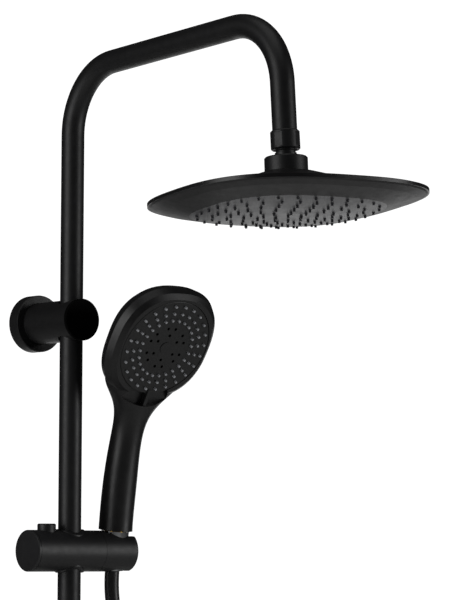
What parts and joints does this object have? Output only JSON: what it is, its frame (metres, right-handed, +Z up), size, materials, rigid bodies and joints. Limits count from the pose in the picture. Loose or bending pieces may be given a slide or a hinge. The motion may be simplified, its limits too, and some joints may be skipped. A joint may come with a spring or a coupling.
{
  "type": "rain shower column",
  "caption": "Matt black wall-mounted rain shower column: bent riser arm, square rain rose on a ball joint, sliding handset holder, handset and hose, diverter foot.",
  "frame": {"origin": "middle of the upper wall flange, on the wall face", "axes": "+Z up, +Y into the wall, -Y to the room, +X to the right seen from the room"},
  "size_m": [0.2344, 0.5141, 1.5034],
  "materials": {
    "black_metal": "fine matt powder coat",
    "black_plastic": "matt black moulded shell",
    "face_grey": "satin dark grey",
    "nozzle_light": "light grey silicone",
    "nozzle_dark": "dark silicone",
    "chrome": "bright plated",
    "brass": "machined",
    "steel": "plain stainless",
    "seal": "black seal rubber",
    "nylon": "natural nylon",
    "hose_black": "smooth black hose skin"
  },
  "bodies": {
    "column": {"wall_plate": "steel", "wall_screws": "steel", "flange_upper": "black_metal", "bracket_arm": "black_metal", "bracket_grub_screw": "steel", "bracket_cap": "black_metal", "rail_liner": "nylon", "gooseneck": "black_metal", "rail_lower": "black_metal", "rail_spigot": "brass", "spigot_rings": "seal", "swivel_nut": "black_metal", "arm_insert": "brass", "diverter_body": "black_metal", "diverter_cartridge": "brass", "cartridge_nut": "black_metal", "inlet_union": "brass", "flange_lower": "black_metal", "rail_adapter": "brass", "rail_collar": "black_metal", "outlet_nipple": "brass", "hose_nut_lower": "black_metal", "hose_washer_lower": "seal", "hose_loop": "hose_black"},
    "ball_washer": {"swivel_washer": "nylon"},
    "ball_seat": {"ball_liner": "nylon"},
    "rose": {"ball_stem": "black_metal", "rose_boss": "black_metal", "rose_shell": "black_plastic", "rose_ring": "black_plastic", "rose_face": "face_grey", "rose_nozzles": "nozzle_dark", "rose_distributor": "black_plastic", "rose_screws": "steel"},
    "diverter": {"diverter_knob": "black_metal", "diverter_lever": "black_metal", "knob_cap": "black_metal", "diverter_stem": "brass"},
    "slider": {"slider_body": "black_plastic", "slider_end_cap": "black_plastic", "rail_bush": "black_plastic", "button_spring": "steel", "holder_bolt": "steel", "friction_washer": "nylon"},
    "brake": {"brake_pad": "nylon"},
    "button": {"release_button": "black_plastic"},
    "holder": {"handset_holder": "black_plastic", "hose_middle": "hose_black"},
    "hose_end": {"hose_cone_nut": "chrome", "hose_washer_upper": "seal", "hose_top": "hose_black"},
    "handset": {"handset_inlet": "brass", "flow_restrictor": "nylon", "handle_sleeve": "black_plastic", "handset_shell": "black_plastic", "handset_bezel": "black_plastic", "spray_distributor": "nylon"},
    "selector": {"spray_face": "black_plastic", "spray_nozzles": "nozzle_light", "spray_cap": "black_plastic"}
  },
  "joints": [
    {"name": "slider_slide", "type": "slide", "parent": "column", "child": "slider", "axis": [0, 0, 1], "range_m": [-0.45, 0.12], "deforming": ["hose_loop"]},
    {"name": "brake_release", "type": "slide", "parent": "slider", "child": "brake", "axis": [-1, 0, 0], "range_m": [0, 0.0015]},
    {"name": "button_press", "type": "slide", "parent": "slider", "child": "button", "axis": [0, 0, -1], "range_m": [0, 0.003], "stiffness_N_per_m": 1200, "springref_m": -0.003, "deforming": ["button_spring"]},
    {"name": "holder_tilt", "type": "hinge", "parent": "slider", "child": "holder", "pos_m": [0.053, -0.0635, -0.219], "axis": [1, 0, 0], "range_deg": [-4, 30], "deforming": ["hose_middle"]},
    {"name": "handset_lift", "type": "slide", "parent": "holder", "child": "hose_end", "axis": [0, -0.1219, 0.9925], "range_m": [0, 0.05], "deforming": ["hose_top"]},
    {"name": "handset_swivel", "type": "hinge", "parent": "hose_end", "child": "handset", "pos_m": [0.053, -0.0635, -0.219], "axis": [0, -0.1219, 0.9925], "range_deg": [-5, 90]},
    {"name": "spray_select", "type": "hinge", "parent": "handset", "child": "selector", "pos_m": [0.053, -0.1409, -0.02761], "axis": [0, -0.8517, -0.524], "range_deg": [-22, 22]},
    {"name": "rose_spin", "type": "hinge", "parent": "column", "child": "ball_washer", "pos_m": [0, -0.37421, 0.13549], "axis": [0, 0.0767, 0.9971], "continuous": true},
    {"name": "rose_tilt_side", "type": "hinge", "parent": "ball_washer", "child": "ball_seat", "pos_m": [0, -0.37421, 0.13549], "axis": [1, 0, 0], "range_deg": [-8.4, 8.4]},
    {"name": "rose_tilt_fore", "type": "hinge", "parent": "ball_seat", "child": "rose", "pos_m": [0, -0.37421, 0.13549], "axis": [0, 0.9971, -0.0767], "range_deg": [-8.4, 8.4]},
    {"name": "diverter_turn", "type": "hinge", "parent": "column", "child": "diverter", "pos_m": [0, -0.0635, -0.85], "axis": [0, 1, 0], "range_deg": [0, 90]}
  ],
  "couplings": [
    {"joint": "brake_release", "follows": "button_press", "ratio": 0.5}
  ]
}
